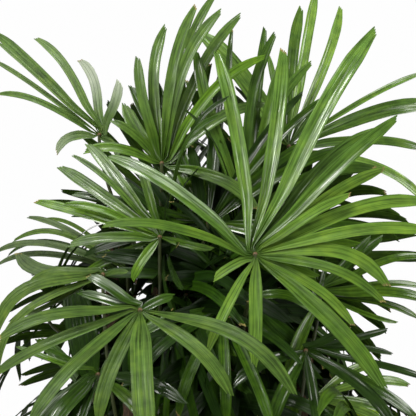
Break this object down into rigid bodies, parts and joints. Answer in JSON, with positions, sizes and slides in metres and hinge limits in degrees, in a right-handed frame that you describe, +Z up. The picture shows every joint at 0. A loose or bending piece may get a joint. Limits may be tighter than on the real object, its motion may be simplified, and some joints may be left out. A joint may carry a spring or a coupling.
{
  "type": "lady palm",
  "caption": "Clumping fan palm with slender fibre-sheathed canes and a dense crown of split fan leaves, rooted in the ground",
  "frame": {"origin": "on the level ground under the middle of the clump, at the flat cut under the root crown", "axes": "+Z up, -Y towards the front of the crown, +X to its right"},
  "size_m": [0.7455, 0.6885, 1.2499],
  "materials": {
    "cane": "matt, coarse dark fibre over old leaf sheaths, bare and ringed below",
    "root_crown": "matt, rough",
    "leaf_fresh": "glossy pleated blades, mid green",
    "leaf_deep": "glossy pleated blades, deep green",
    "leaf_grey_green": "satin pleated blades, older and greyer green"
  },
  "bodies": {
    "root": {"root_crown": "root_crown", "cane_middle": "cane", "cane_left": "cane", "cane_far_left": "cane", "cane_back_right": "cane", "cane_right": "cane", "cane_front_left": "cane", "cane_back": "cane", "cane_rear": "cane", "cane_front_right": "cane", "cane_back_left": "cane", "leaf_upper_left": "leaf_grey_green", "leaf_upper_middle": "leaf_grey_green", "leaf_upper_right": "leaf_fresh", "leaf_front": "leaf_fresh", "leaf_front_low": "leaf_fresh", "leaf_left": "leaf_deep", "leaf_middle_back": "leaf_fresh", "leaf_left_back": "leaf_grey_green", "leaf_left_low": "leaf_grey_green", "leaf_low_left": "leaf_deep", "leaf_right": "leaf_deep", "leaf_right_low": "leaf_deep", "leaf_low_right": "leaf_deep", "leaf_middle_low": "leaf_deep", "leaf_young_left": "leaf_deep", "leaf_young_right": "leaf_fresh", "leaf_1": "leaf_deep", "leaf_2": "leaf_deep", "leaf_3": "leaf_deep", "leaf_5": "leaf_deep", "leaf_7": "leaf_deep", "leaf_8": "leaf_deep", "leaf_9": "leaf_deep", "leaf_10": "leaf_deep", "leaf_11": "leaf_deep", "leaf_12": "leaf_deep", "leaf_13": "leaf_deep", "leaf_16": "leaf_deep", "leaf_18": "leaf_deep", "leaf_19": "leaf_deep", "leaf_21": "leaf_deep", "leaf_22": "leaf_deep", "leaf_23": "leaf_deep", "leaf_26": "leaf_deep", "leaf_27": "leaf_deep", "leaf_28": "leaf_deep", "leaf_29": "leaf_deep", "leaf_30": "leaf_deep", "leaf_31": "leaf_deep", "leaf_32": "leaf_deep", "leaf_33": "leaf_deep", "leaf_34": "leaf_deep", "leaf_36": "leaf_deep", "leaf_37": "leaf_deep", "leaf_39": "leaf_deep", "leaf_41": "leaf_deep", "leaf_42": "leaf_deep"}
  },
  "joints": []
}
